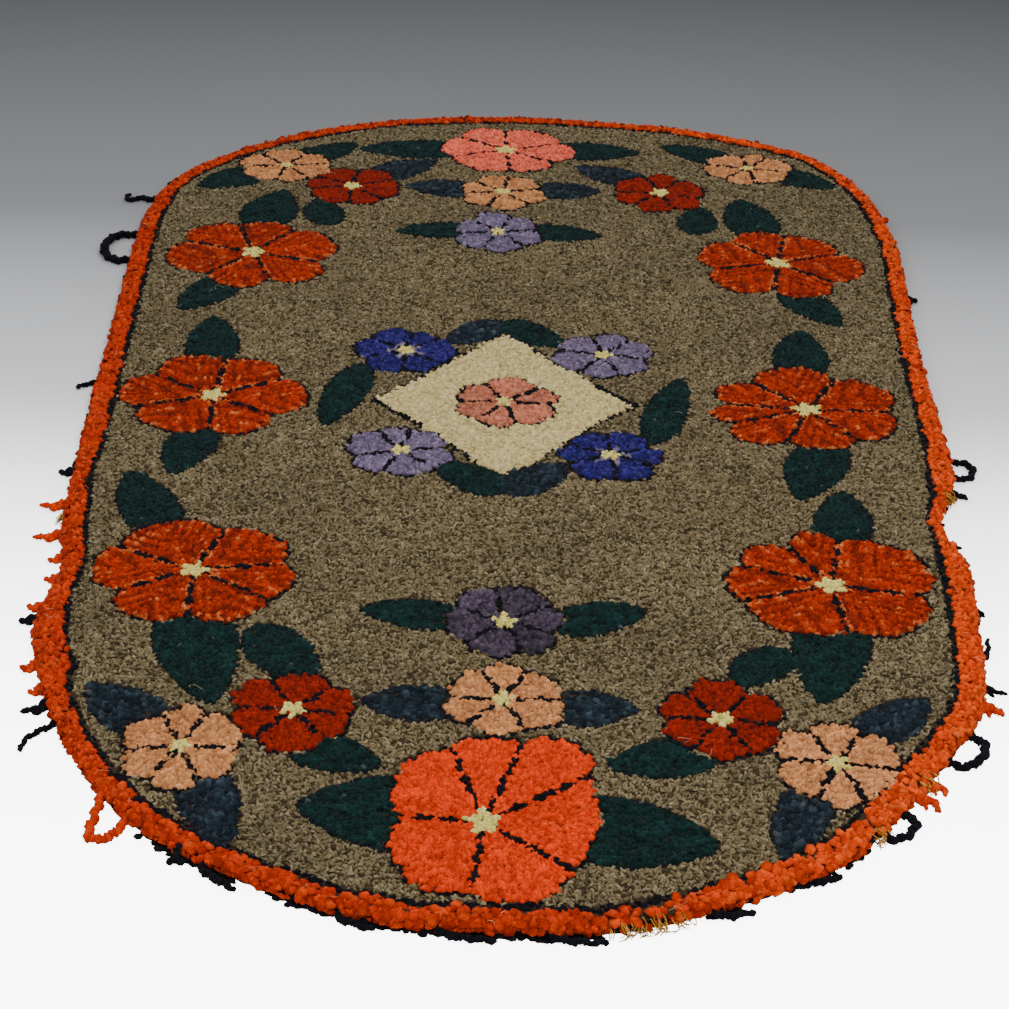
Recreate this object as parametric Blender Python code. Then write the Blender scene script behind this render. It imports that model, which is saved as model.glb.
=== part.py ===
"""Hooked rug: a flat oblong mat of wool loops with worn round corners.

The rug lies flat on z = 0. +X runs across it, +Y runs from the near end to
the far end, and the origin is on its underside near the middle. The mat is
one lumpy slab. A row of yarn is sewn round its rim, and the loops and ends
that have worked loose from that row lie on the floor beside it.
"""

import math

import bmesh
import bpy
from mathutils import Vector

# Heights of the cloth, in metres.
MAT_TOP = 0.0108
LUMP = 0.0007
RIM_SHOULDER = 0.0066

# The sewn row of yarn round the rim.
ROW_WIDTH = 0.0075
ROW_HEIGHT = 0.0082
ROW_LUMP = 0.0011
GAP = 0.0003

# Loose yarn: how deep its root sits in the row, and how much a free end thins.
ROOT_DEPTH = 0.0042
THINNING = 0.40

# Steps round the rim, and the last ring of the slab before its centre.
RIM_STEPS = 176
INNER_RINGS = (0.86, 0.70, 0.54, 0.38, 0.22, 0.08)
SPINE_SHARE = 0.58

# The worn outline: where on the rim, metres across (+X), metres along (+Y).
OUTLINE = (
    ("near end, middle", 0.010, -0.671),
    ("near end, right of middle", 0.080, -0.666),
    ("near end, right", 0.170, -0.629),
    ("near right corner, start", 0.227, -0.590),
    ("near right corner", 0.271, -0.534),
    ("near right corner, end", 0.308, -0.478),
    ("right side, near", 0.339, -0.418),
    ("right side, bulge", 0.353, -0.300),
    ("right side, behind the bulge", 0.357, -0.240),
    ("right side, dip", 0.345, -0.182),
    ("right side, past the dip", 0.368, -0.100),
    ("right side, middle", 0.370, 0.010),
    ("right side, past the middle", 0.372, 0.114),
    ("right side, widest", 0.378, 0.230),
    ("right side, far", 0.383, 0.345),
    ("far right corner, start", 0.371, 0.452),
    ("far right corner", 0.343, 0.529),
    ("far right corner, end", 0.300, 0.575),
    ("far end, right", 0.210, 0.618),
    ("far end, right of middle", 0.105, 0.640),
    ("far end, middle", 0.000, 0.645),
    ("far end, left", -0.112, 0.632),
    ("far left corner, start", -0.220, 0.582),
    ("far left corner", -0.289, 0.524),
    ("far left corner, end", -0.334, 0.460),
    ("left side, far", -0.351, 0.390),
    ("left side, step", -0.355, 0.310),
    ("left side, past the middle", -0.352, 0.115),
    ("left side, middle", -0.349, -0.067),
    ("left side, near the middle", -0.344, -0.205),
    ("left side, hollow", -0.335, -0.270),
    ("left side, bulge", -0.343, -0.345),
    ("left side, near", -0.333, -0.392),
    ("near left corner, start", -0.316, -0.450),
    ("near left corner", -0.276, -0.529),
    ("near left corner, end", -0.233, -0.581),
    ("near end, left", -0.160, -0.630),
    ("near end, left of middle", -0.079, -0.663),
)

# Yarn that has come loose from the rim, read round the rug in order. The
# columns are its name, the place on the rim nearest to it across and along,
# its shape, how far it reaches out, how far it spreads along the rim, and how
# thick it is.
LOOSE = (
    ("far left bits", -0.337, 0.456, "tuft", 0.007, 0.006, 0.0055),
    ("far left curl", -0.345, 0.419, "curl", 0.033, 0.012, 0.0060),
    ("far left big loop", -0.354, 0.303, "loop", 0.029, 0.064, 0.0068),
    ("left side end", -0.351, 0.030, "end", 0.016, 0.010, 0.0052),
    ("left side tuft", -0.347, -0.122, "tuft", 0.012, 0.010, 0.0060),
    ("left tatter, first", -0.346, -0.176, "tuft", 0.021, 0.008, 0.0062),
    ("left tatter, second", -0.343, -0.220, "tuft", 0.022, 0.006, 0.0062),
    ("left tatter, third", -0.337, -0.252, "tuft", 0.011, 0.006, 0.0055),
    ("left tatter, fourth", -0.335, -0.282, "tuft", 0.010, 0.006, 0.0055),
    ("left tatter, fifth", -0.341, -0.320, "tuft", 0.011, 0.010, 0.0060),
    ("left side stub", -0.342, -0.338, "tuft", 0.012, 0.004, 0.0070),
    ("left spike", -0.331, -0.396, "tuft", 0.013, 0.006, 0.0062),
    ("left spike, lower", -0.323, -0.424, "tuft", 0.009, 0.008, 0.0050),
    ("left black strip", -0.317, -0.444, "tuft", 0.018, 0.004, 0.0060),
    ("left black strand", -0.309, -0.466, "end", 0.028, 0.020, 0.0052),
    ("near left open loop", -0.254, -0.556, "lean", 0.029, 0.037, 0.0062),
    ("near left bit", -0.207, -0.602, "tuft", 0.012, 0.004, 0.0070),
    ("near left strand", -0.192, -0.612, "end", 0.007, 0.032, 0.0062),
    ("near end black bit", -0.104, -0.655, "end", 0.005, 0.026, 0.0055),
    ("near end black strand", -0.040, -0.670, "end", 0.005, 0.036, 0.0055),
    ("near end black strand, right", 0.030, -0.670, "end", 0.005, 0.034, 0.0055),
    ("near end black bunch", 0.132, -0.650, "end", 0.007, 0.024, 0.0062),
    ("near right bits", 0.196, -0.612, "end", 0.005, 0.018, 0.0055),
    ("near right loop", 0.256, -0.555, "loop", 0.013, 0.030, 0.0060),
    ("near right tatter, first", 0.277, -0.528, "tuft", 0.018, 0.012, 0.0060),
    ("near right tatter, second", 0.286, -0.512, "tuft", 0.014, 0.010, 0.0055),
    ("right big loop", 0.312, -0.471, "loop", 0.017, 0.040, 0.0062),
    ("right tatter", 0.337, -0.422, "tuft", 0.014, 0.012, 0.0068),
    ("right stub", 0.342, -0.400, "tuft", 0.016, 0.004, 0.0045),
    ("right strand", 0.348, -0.360, "end", 0.006, 0.028, 0.0045),
    ("right bit", 0.353, -0.300, "tuft", 0.007, 0.006, 0.0050),
    ("right upper bit", 0.355, -0.206, "tuft", 0.009, 0.006, 0.0050),
    ("right side wedge", 0.360, -0.126, "tuft", 0.014, 0.006, 0.0060),
    ("right side loop", 0.369, -0.086, "loop", 0.017, 0.030, 0.0056),
    ("far right tuft", 0.378, 0.232, "tuft", 0.009, 0.008, 0.0055),
)

WOOL_MIX = (0.19, 0.12, 0.08, 1.0)
BLACK_YARN = (0.012, 0.012, 0.018, 1.0)


def spline_point(before, start, end, after, t):
    """A Catmull-Rom curve through start and end, t from 0 to 1."""
    return 0.5 * (
        2 * start
        + (end - before) * t
        + (2 * before - 5 * start + 4 * end - after) * t ** 2
        + (3 * start - before - 3 * end + after) * t ** 3
    )


def rim_points(steps):
    """Points at equal steps along the closed curve through the outline."""
    stations = [Vector((across, along)) for _, across, along in OUTLINE]
    count = len(stations)
    dense = []
    for i in range(count):
        around = [stations[(i + k - 1) % count] for k in range(4)]
        dense += [spline_point(*around, k / 24) for k in range(24)]
    lengths = [0.0]
    for i, point in enumerate(dense):
        step = (dense[(i + 1) % len(dense)] - point).length
        lengths.append(lengths[-1] + step)
    points = []
    place = 0
    for i in range(steps):
        target = lengths[-1] * i / steps
        while lengths[place + 1] < target:
            place += 1
        share = (target - lengths[place]) / (lengths[place + 1] - lengths[place])
        after = dense[(place + 1) % len(dense)]
        points.append(dense[place].lerp(after, share))
    return points


def outward(points):
    """The outward direction at each point of a counter-clockwise outline."""
    count = len(points)
    normals = []
    for i in range(count):
        along = points[(i + 1) % count] - points[i - 1]
        normals.append(Vector((along.y, -along.x)).normalized())
    return normals


def lumps(x, y):
    """Gentle unevenness of the hooked surface, from -1 to 1."""
    broad = math.sin(37 * x + 1.3) * math.cos(29 * y + 0.4)
    fine = math.sin(71 * x - 53 * y) * math.cos(61 * x + 47 * y + 2.0)
    return 0.6 * broad + 0.4 * fine


def loft(mesh, sections, closed=False):
    """Skins neighbouring rings of vertices with quads."""
    pairs = list(zip(sections, sections[1:]))
    if closed:
        pairs.append((sections[-1], sections[0]))
    for first, second in pairs:
        size = len(first)
        for i in range(size):
            j = (i + 1) % size
            mesh.faces.new((first[i], first[j], second[j], second[i]))


def finish(mesh, name, colour, roughness):
    """Turns the bmesh into a named object with its own material."""
    bmesh.ops.recalc_face_normals(mesh, faces=mesh.faces)
    data = bpy.data.meshes.new(name)
    mesh.to_mesh(data)
    mesh.free()
    material = bpy.data.materials.new(name)
    material.use_nodes = True
    surface = material.node_tree.nodes["Principled BSDF"]
    surface.inputs["Base Color"].default_value = colour
    surface.inputs["Roughness"].default_value = roughness
    surface.inputs["Metallic"].default_value = 0.0
    data.materials.append(material)
    return bpy.data.objects.new(name, data)


def make_mat(rim, normals):
    """The lumpy slab: rings stepped in from the rim, then drawn to a spine."""
    inset = ROW_WIDTH + GAP
    profile = (
        (inset, 0.0),
        (inset, RIM_SHOULDER),
        (inset + 0.0030, 0.88 * MAT_TOP),
        (inset + 0.0085, MAT_TOP),
        (inset + 0.0240, MAT_TOP),
    )
    mesh = bmesh.new()
    sections = []
    for depth, height in profile:
        section = []
        for point, normal in zip(rim, normals):
            place = point - normal * depth
            rise = LUMP * lumps(*place) if height > RIM_SHOULDER else 0.0
            section.append(mesh.verts.new((*place, height + rise)))
        sections.append(section)
    edge = [vertex.co.copy() for vertex in sections[-1]]
    for share in INNER_RINGS:
        section = []
        for point in edge:
            spine = Vector((0.0, SPINE_SHARE * point.y))
            place = spine.lerp(point.xy, share)
            height = MAT_TOP + LUMP * lumps(*place)
            section.append(mesh.verts.new((*place, height)))
        sections.append(section)
    loft(mesh, sections)
    centre = mesh.faces.new(sections[-1])
    bmesh.ops.triangulate(mesh, faces=[centre])
    mesh.faces.new(list(reversed(sections[0])))
    return finish(mesh, "hooked_mat", WOOL_MIX, 0.95)


def make_row(rim, normals):
    """The yarn sewn round the rim: a lumpy ring with a straight inner wall."""
    mesh = bmesh.new()
    sections = []
    for i, (point, normal) in enumerate(zip(rim, normals)):
        swell = math.sin(2.1 * i) * math.cos(0.37 * i + 1.0)
        wide = ROW_WIDTH + ROW_LUMP * swell
        high = ROW_HEIGHT + ROW_LUMP * math.cos(1.7 * i)
        profile = (
            (0.0, 0.0),
            (0.86 * wide, 0.0),
            (wide, 0.40 * high),
            (0.78 * wide, 0.86 * high),
            (0.42 * wide, high),
            (0.0, 0.80 * high),
        )
        inner = point - normal * ROW_WIDTH
        section = []
        for out, height in profile:
            section.append(mesh.verts.new((*(inner + normal * out), height)))
        sections.append(section)
    loft(mesh, sections, closed=True)
    return finish(mesh, "rim_yarn", BLACK_YARN, 0.9)


def route(shape, reach, spread):
    """A loose yarn's route beside the rim, as places along and out of it.

    A loop leaves the row and comes back to it, and one that leans comes back
    beyond its widest place. A curl wavers out and ends in a small ring. An
    end leaves the row and then lies beside it. A tuft juts out.
    """
    root = -ROOT_DEPTH
    half = 0.5 * spread
    if shape == "loop":
        turns = [math.pi * k / 10 for k in range(11)]
        sides = [(-half * math.cos(a), reach * math.sin(a) ** 0.7) for a in turns]
        return [(-0.8 * half, root)] + sides[1:-1] + [(0.8 * half, root)]
    if shape == "lean":
        shares = ((0.0, 0.50), (0.38, 0.96), (0.58, 0.78), (0.56, 0.34))
        sides = [(spread * beside, reach * beyond) for beside, beyond in shares]
        return [(-0.45 * spread, root)] + sides + [(0.34 * spread, root)]
    if shape == "curl":
        turns = [math.pi * k / 8 for k in range(-4, 8)]
        ring = [(half * math.cos(a), reach - half + half * math.sin(a)) for a in turns]
        return [(0.0, root), (0.3 * half, 0.3 * reach), (-0.4 * half, 0.6 * reach)] + ring[1:]
    if shape == "end":
        turns = [0.5 * math.pi * k / 6 for k in range(1, 7)]
        bow = [(spread * (1 - math.cos(a)), reach * math.sin(a)) for a in turns]
        return [(-0.002, root)] + bow
    bend = 0.3 * spread
    return [(0.0, root), (0.0, 0.2 * reach), (bend, 0.6 * reach), (-bend, reach)]


def strand(name, places, thick):
    """A four-sided yarn along a route on the floor, thinner at a free end."""
    mesh = bmesh.new()
    sections = []
    count = len(places)
    for i, place in enumerate(places):
        before = places[max(i - 1, 0)]
        after = places[min(i + 1, count - 1)]
        along = (after - before).normalized()
        side = Vector((-along.y, along.x))
        wide = 0.5 * thick[i]
        corners = ((-wide, 0.0), (wide, 0.0), (0.7 * wide, thick[i]), (-0.7 * wide, thick[i]))
        section = []
        for across, height in corners:
            section.append(mesh.verts.new((*(place + side * across), height)))
        sections.append(section)
    loft(mesh, sections)
    mesh.faces.new(sections[0])
    mesh.faces.new(sections[-1])
    return finish(mesh, name, BLACK_YARN, 0.9)


def make_loose(rim, normals):
    """One strand for each loose yarn, rooted in the row nearest to it."""
    count = len(rim)
    strands = []
    for name, across, along, shape, reach, spread, full in LOOSE:
        place = Vector((across, along))
        near = min(range(count), key=lambda i: (rim[i] - place).length)
        out = normals[near]
        round_rim = (rim[(near + 1) % count] - rim[near - 1]).normalized()
        base = rim[near]
        places = []
        for beside, beyond in route(shape, reach, spread):
            bend = 0.5 * beside ** 2 / 0.9
            places.append(base + round_rim * beside + out * (beyond - bend))
        steps = len(places) - 1
        thinning = 0 if shape in ("loop", "lean") else THINNING
        thick = [full * (1 - thinning * i / steps) for i in range(steps + 1)]
        strands.append(strand("strand, " + name, places, thick))
    return strands


def fuse(row, strands, guides):
    """Joins the strands' roots to the row, and keeps the strands hidden."""
    for piece in strands:
        guides.objects.link(piece)
        piece.hide_render = True
        piece.display_type = "WIRE"
        union = row.modifiers.new(piece.name, "BOOLEAN")
        union.operation = "UNION"
        union.solver = "EXACT"
        union.object = piece


def main():
    """Empties the scene and builds the rug in its own collection."""
    for old in list(bpy.data.objects):
        bpy.data.objects.remove(old)
    rug = bpy.data.collections.new("hooked rug")
    guides = bpy.data.collections.new("rug guides")
    bpy.context.scene.collection.children.link(rug)
    bpy.context.scene.collection.children.link(guides)
    rim = rim_points(RIM_STEPS)
    normals = outward(rim)
    rug.objects.link(make_mat(rim, normals))
    row = make_row(rim, normals)
    rug.objects.link(row)
    fuse(row, make_loose(rim, normals), guides)


main()
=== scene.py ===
"""A worn hooked rug on a pale studio floor: every loop of its pile is a small mesh grain.

The rug lies flat on z = 0 with +X across it and +Y towards its far end. The
outline comes from the frame. Flowers and leaves are rows of two short tables,
and petals, veins and leaf shapes come from formulas. Lengths are in metres.
"""

import math

import bmesh
import bpy
import numpy as np
from mathutils import Matrix, Vector


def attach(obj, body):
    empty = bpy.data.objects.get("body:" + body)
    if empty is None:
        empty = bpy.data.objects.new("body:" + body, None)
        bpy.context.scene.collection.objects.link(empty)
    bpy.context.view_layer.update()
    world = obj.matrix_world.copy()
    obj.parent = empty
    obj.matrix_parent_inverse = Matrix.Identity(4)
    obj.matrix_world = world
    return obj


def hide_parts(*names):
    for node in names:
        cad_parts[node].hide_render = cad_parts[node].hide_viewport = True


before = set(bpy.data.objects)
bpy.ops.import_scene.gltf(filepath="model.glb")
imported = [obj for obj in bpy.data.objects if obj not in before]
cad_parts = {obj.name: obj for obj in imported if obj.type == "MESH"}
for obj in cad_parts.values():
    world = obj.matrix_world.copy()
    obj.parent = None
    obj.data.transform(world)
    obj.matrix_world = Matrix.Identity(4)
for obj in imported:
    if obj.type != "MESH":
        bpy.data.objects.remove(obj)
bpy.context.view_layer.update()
RNG = np.random.default_rng(29)

# The cloth as in the frame's solids: the height of the pile's tips, its lumps,
# a loop's height, the sewn row's width and the gap over the floor.
PILE_TOP = 0.0108
LUMP = 0.0007
LOOP_HEIGHT = 0.0021
ROW_WIDTH = 0.0078
FLOOR_GAP = 0.0003

# Loop spacing in the ground, in the motifs, in the border and in dark rows.
GROUND_PITCH = 0.00250
MOTIF_PITCH = 0.00275
BORDER_PITCH = 0.0034
OUTLINE_PITCH = 0.0032
OUTLINE_WIDTH = 0.0044

# A loop's length as a share of the spacing: over 1, so that loops overlap.
OVERLAP = {
    "petal": 1.72, "leaf": 1.72, "cream": 1.7, "centre": 1.6, "border": 1.55, "inner line": 1.55,
    "vein": 1.5, "diamond edge": 1.5, "ground": 1.42, "flower edge": 1.35, "edge gap": 1.15,
}

# Loops bunch in tufts of about these sizes, with cracks between them.
PETAL_TUFT = 0.0072
LEAF_TUFT = 0.0085
NAVY_TUFT = 0.0100
CREAM_TUFT = 0.0075
CRACK = 0.0017

# Steps of the cusps round a petal, a leaf and the diamond, of the dashes in a
# vein and of the streaks in an orange petal.
PETAL_CUSP = 0.0078
LEAF_CUSP = 0.0072
DIAMOND_CUSP = 0.0115
VEIN_DASH = 0.019
STREAK = 0.0105

# The border's width by the place along, on the left and on the right.
BORDER_LEFT = (
    (-0.67, 0.0155), (-0.60, 0.0140), (-0.47, 0.0140), (-0.42, 0.0165), (-0.405, 0.0240), (-0.39, 0.0200),
    (-0.34, 0.0215), (-0.31, 0.0150), (-0.26, 0.0145), (-0.20, 0.0165), (-0.13, 0.0125), (-0.08, 0.0165),
    (0.30, 0.0160), (0.50, 0.0140), (0.65, 0.0150),
)
BORDER_RIGHT = (
    (-0.67, 0.0155), (-0.60, 0.0170), (-0.50, 0.0180), (-0.40, 0.0180), (-0.30, 0.0185), (-0.24, 0.0205),
    (-0.205, 0.0090), (-0.165, 0.0070), (-0.135, 0.0110), (-0.11, 0.0180), (-0.06, 0.0175), (0.0, 0.0155),
    (0.10, 0.0140), (0.45, 0.0135), (0.65, 0.0150),
)

# How wide the dark line inside the border is.
INNER_LINE = 0.0050

# How thickly black yarn shows under the near end's border, by place across.
NEAR_BLACK = (
    (-0.240, 0.0), (-0.232, 1.0), (-0.176, 1.0), (-0.170, 0.0), (-0.150, 0.0), (-0.142, 1.0), (0.056, 1.0),
    (0.062, 0.0), (0.122, 0.0), (0.127, 1.0), (0.145, 1.0), (0.150, 0.0), (0.180, 0.0), (0.183, 1.0),
    (0.208, 1.0), (0.213, 0.0), (0.222, 0.2), (0.226, 1.0), (0.236, 1.0), (0.241, 0.0),
)

# How the pile rolls over the rim: the roll's radius, and how far round it the
# loops go.
ROLL = 0.0062
ROLL_TURN = math.radians(108)

# The border's rows of loops: how many, and how far apart.
BORDER_ROWS = 11
BORDER_ROW = 0.00300

# The sewn row's yarn: how far inside the rim it lies, its height and radius.
SEWN_INSET = 0.0039
SEWN_HEIGHT = 0.0040
SEWN_RADIUS = 0.0031

# Loose yarn: how deep and how high its root is, the rim's bend where it
# lies, its step along, and how long its twist, its slow waver, its knots and
# its strands are.
ROOT_DEPTH = 0.004
ROOT_HEIGHT = 0.004
RIM_BEND = 0.9
YARN_STEP = 0.0010
TWIST = 0.0068
WAVER = 0.0115
KNOT = 0.0062
STRAND = 0.0027

# Fibres: jute ends for each metre of a worn place, pale hairs, and radii.
JUTE_ENDS = 3600
JUTE_RADIUS = 0.00045
HAIRS = 80
HAIR_RADIUS = 0.00010

# The photograph's view: lens and sensor in millimetres, the place it looks
# at, its distance, and its pitch, yaw and roll in degrees.
LENS = 85.6
SENSOR = 36.0
AIM = (-0.0003, -0.171, PILE_TOP)
DISTANCE = 1.897
VIEW_TURN = (31.0, -0.98, 1.85)

# Texture scales: fibres of about 1 mm, soil in clouds of about 45 mm, and a
# weave of 1.6 mm threads.
FIBRE_SCALE = 950.0
SOIL_SCALE = 22.0
WEAVE_SCALE = 195.0

# Each wool's skeins as sRGB codes, the commonest first.
WOOLS = {
    "ground": ("75674B", "817356", "584B32", "8F8062", "6B5E40", "443925"),
    "border": ("BA3004", "C63C0A", "9C2200", "B02E04"),
    "coral": ("D43404", "DE3E0A", "C22C00", "D63A08"),
    "coral far": ("DE6048", "E87056", "CC4E3A", "E0684E"),
    "red": ("821A05", "8E1F08", "6C1204", "7A1806"),
    "orange": ("9E2604", "AC3008", "861C02", "A22A06"),
    "salmon": ("B85426", "AC481C", "C4642F", "AA4016"),
    "peach": ("BC7C4E", "C88A5A", "AA6C40", "BE804E"),
    "rose": ("B46A50", "C0765C", "A45C44", "B26C54"),
    "purple": ("3A303C", "483D4A", "2C2430", "423842"),
    "lavender": ("6C5E76", "7C6E86", "584C62", "665A70"),
    "violet": ("201A58", "2A2468", "181444", "342E70"),
    "green": ("0C2321", "102926", "091B19", "0F2724"),
    "navy": ("161F26", "1D272F", "11191F", "2A353D"),
    "black": ("0C0B10", "121118", "08070B", "100F14"),
    "cream": ("C2AE78", "CEBA86", "B09C66", "C6B27C"),
    "yellow": ("D0C068", "DACA7A", "BEAE56", "D2C26C"),
    "jute": ("A8762A", "BC8A38", "8C6022", "C89A4A"),
    "thread": ("D0BE98", "C0AA80", "DCCEAC", "B49C70"),
}

# Flowers: place across and along, half width and half length, wool of the
# petals, the centre's share, and the veins between petals in degrees, or the
# turn of the first of six nearly even ones.
FLOWERS = (
    ("near end", -0.014, -0.569, 0.068, 0.083, "coral", 0.17, (175, 106, 73, 36, -39, -96)),
    ("far end", 0.002, 0.553, 0.070, 0.058, "coral far", 0.17, 26),
    ("near end, inner", -0.001, -0.433, 0.0415, 0.0410, "peach", 0.21, (114, 65, 0, -67, -131, 180)),
    ("far end, inner", -0.002, 0.443, 0.0415, 0.0410, "peach", 0.19, 12),
    ("near end, innermost", 0.000, -0.335, 0.0423, 0.0460, "purple", 0.22, 40),
    ("far end, innermost", -0.006, 0.347, 0.0420, 0.0440, "lavender", 0.18, 15),
    ("near left red", -0.147, -0.451, 0.0422, 0.0450, "red", 0.20, (177, 117, 46, -5, -53, -127)),
    ("near right red", 0.150, -0.451, 0.0410, 0.0450, "red", 0.22, (128, 180, 55, -9, -66, -123)),
    ("far left red", -0.154, 0.448, 0.0462, 0.0455, "red", 0.20, 20),
    ("far right red", 0.158, 0.450, 0.0450, 0.0450, "red", 0.20, 50),
    ("near left peach", -0.219, -0.495, 0.0410, 0.0450, "peach", 0.16, (114, 70, -4, -67, -114, 188)),
    ("near right peach", 0.225, -0.498, 0.0420, 0.0450, "peach", 0.20, (116, 174, 60, -9, -70, -116)),
    ("far left peach", -0.224, 0.496, 0.0470, 0.0400, "peach", 0.15, 10),
    ("far right peach", 0.252, 0.518, 0.0460, 0.0380, "peach", 0.15, 44),
    ("near left orange", -0.234, -0.275, 0.0793, 0.0757, "orange", 0.14, (73, 10, -33, -88, -150, 154)),
    ("near right orange", 0.246, -0.277, 0.0810, 0.0745, "orange", 0.16, (-86, -9, 78, 116, 159, 199)),
    ("left orange", -0.248, 0.000, 0.0760, 0.0720, "orange", 0.15, 30),
    ("right orange", 0.259, 0.000, 0.0820, 0.0720, "orange", 0.16, (176, 133, 62, -2, -55, -112, -157)),
    ("far left orange", -0.240, 0.286, 0.0790, 0.0720, "orange", 0.15, 50),
    ("far right orange", 0.262, 0.290, 0.0800, 0.0720, "orange", 0.15, 20),
    ("middle", 0.000, 0.000, 0.0430, 0.0420, "rose", 0.17, 50),
    ("middle, near left", -0.086, -0.087, 0.0420, 0.0400, "lavender", 0.20, 10),
    ("middle, near right", 0.087, -0.087, 0.0420, 0.0400, "violet", 0.20, 30),
    ("middle, far left", -0.088, 0.090, 0.0420, 0.0400, "violet", 0.20, 30),
    ("middle, far right", 0.087, 0.090, 0.0420, 0.0400, "lavender", 0.20, 50),
)

# The large front flower's edge as shares of its half sizes: at each vein from
# the one at 36 degrees round, and at the middle of the petal after it.
FRONT_NOTCH = (1.18, 1.06, 0.97, 0.77, 0.82, 0.98)
FRONT_REACH = (1.36, 1.08, 1.02, 0.96, 1.02, 1.07)

# Leaves: root across and along, tip across and along, widest, and wool. A
# root that starts inside a flower is hidden by it.
LEAVES = (
    ("near end, left", -0.024, -0.566, -0.136, -0.555, 0.078, "green"),
    ("near end, right", 0.020, -0.566, 0.139, -0.589, 0.072, "green"),
    ("near inner, left", -0.030, -0.440, -0.101, -0.437, 0.044, "navy"),
    ("near inner, right", 0.026, -0.442, 0.093, -0.440, 0.043, "navy"),
    ("near innermost, left", -0.030, -0.333, -0.108, -0.322, 0.040, "green"),
    ("near innermost, right", 0.030, -0.340, 0.106, -0.316, 0.044, "green"),
    ("under near left red", -0.150, -0.484, -0.082, -0.514, 0.042, "green"),
    ("beside near left red", -0.182, -0.346, -0.134, -0.424, 0.047, "green"),
    ("under near left orange", -0.236, -0.310, -0.204, -0.446, 0.062, "green"),
    ("under near right red", 0.146, -0.486, 0.068, -0.508, 0.044, "green"),
    ("beside near right red", 0.204, -0.363, 0.159, -0.411, 0.041, "green"),
    ("under near right orange", 0.248, -0.302, 0.223, -0.430, 0.058, "green"),
    ("beside near left peach", -0.230, -0.482, -0.292, -0.424, 0.047, "navy"),
    ("under near left peach", -0.205, -0.514, -0.180, -0.602, 0.042, "navy"),
    ("beside near right peach", 0.240, -0.474, 0.299, -0.420, 0.041, "navy"),
    ("under near right peach", 0.208, -0.518, 0.178, -0.600, 0.039, "navy"),
    ("over near left orange", -0.262, -0.226, -0.302, -0.130, 0.048, "green"),
    ("under left orange", -0.250, -0.050, -0.268, -0.134, 0.044, "green"),
    ("over near right orange", 0.262, -0.222, 0.272, -0.136, 0.048, "green"),
    ("under right orange", 0.272, -0.050, 0.236, -0.152, 0.052, "green"),
    ("over left orange", -0.256, 0.050, -0.262, 0.150, 0.048, "green"),
    ("over right orange", 0.258, 0.050, 0.268, 0.150, 0.050, "green"),
    ("under far left orange", -0.250, 0.236, -0.296, 0.160, 0.044, "green"),
    ("under far right orange", 0.262, 0.238, 0.306, 0.160, 0.044, "green"),
    ("over far left orange", -0.240, 0.340, -0.222, 0.436, 0.056, "green"),
    ("over far right orange", 0.252, 0.344, 0.236, 0.440, 0.056, "green"),
    ("beside far left orange", -0.172, 0.352, -0.186, 0.418, 0.040, "green"),
    ("beside far right orange", 0.186, 0.352, 0.196, 0.418, 0.040, "green"),
    ("far left red, outer", -0.142, 0.470, -0.070, 0.520, 0.044, "navy"),
    ("far right red, outer", 0.146, 0.472, 0.074, 0.514, 0.044, "navy"),
    ("far left peach, outer", -0.246, 0.486, -0.308, 0.436, 0.046, "green"),
    ("far left peach, upper", -0.214, 0.510, -0.154, 0.562, 0.042, "green"),
    ("far right peach, outer", 0.272, 0.514, 0.340, 0.476, 0.042, "green"),
    ("far right peach, upper", 0.240, 0.536, 0.166, 0.576, 0.040, "green"),
    ("far end, left", -0.040, 0.550, -0.152, 0.548, 0.050, "green"),
    ("far end, right", 0.040, 0.554, 0.142, 0.554, 0.050, "green"),
    ("far inner, left", -0.028, 0.448, -0.100, 0.453, 0.042, "navy"),
    ("far inner, right", 0.028, 0.448, 0.098, 0.453, 0.042, "navy"),
    ("far innermost, left", -0.030, 0.352, -0.106, 0.343, 0.038, "green"),
    ("far innermost, right", 0.020, 0.352, 0.096, 0.343, 0.038, "green"),
    ("middle, near tip left", 0.002, -0.150, -0.058, -0.104, 0.042, "green"),
    ("middle, near tip right", -0.002, -0.150, 0.052, -0.102, 0.042, "navy"),
    ("middle, far tip left", 0.002, 0.152, -0.054, 0.106, 0.038, "navy"),
    ("middle, far tip right", -0.002, 0.152, 0.054, 0.106, 0.038, "green"),
    ("middle, left", -0.122, 0.066, -0.152, -0.050, 0.038, "green"),
    ("middle, right", 0.122, -0.066, 0.154, 0.052, 0.038, "green"),
)

# The cream diamond behind the middle flower: half width and half length.
DIAMOND = (0.112, 0.138)

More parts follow.
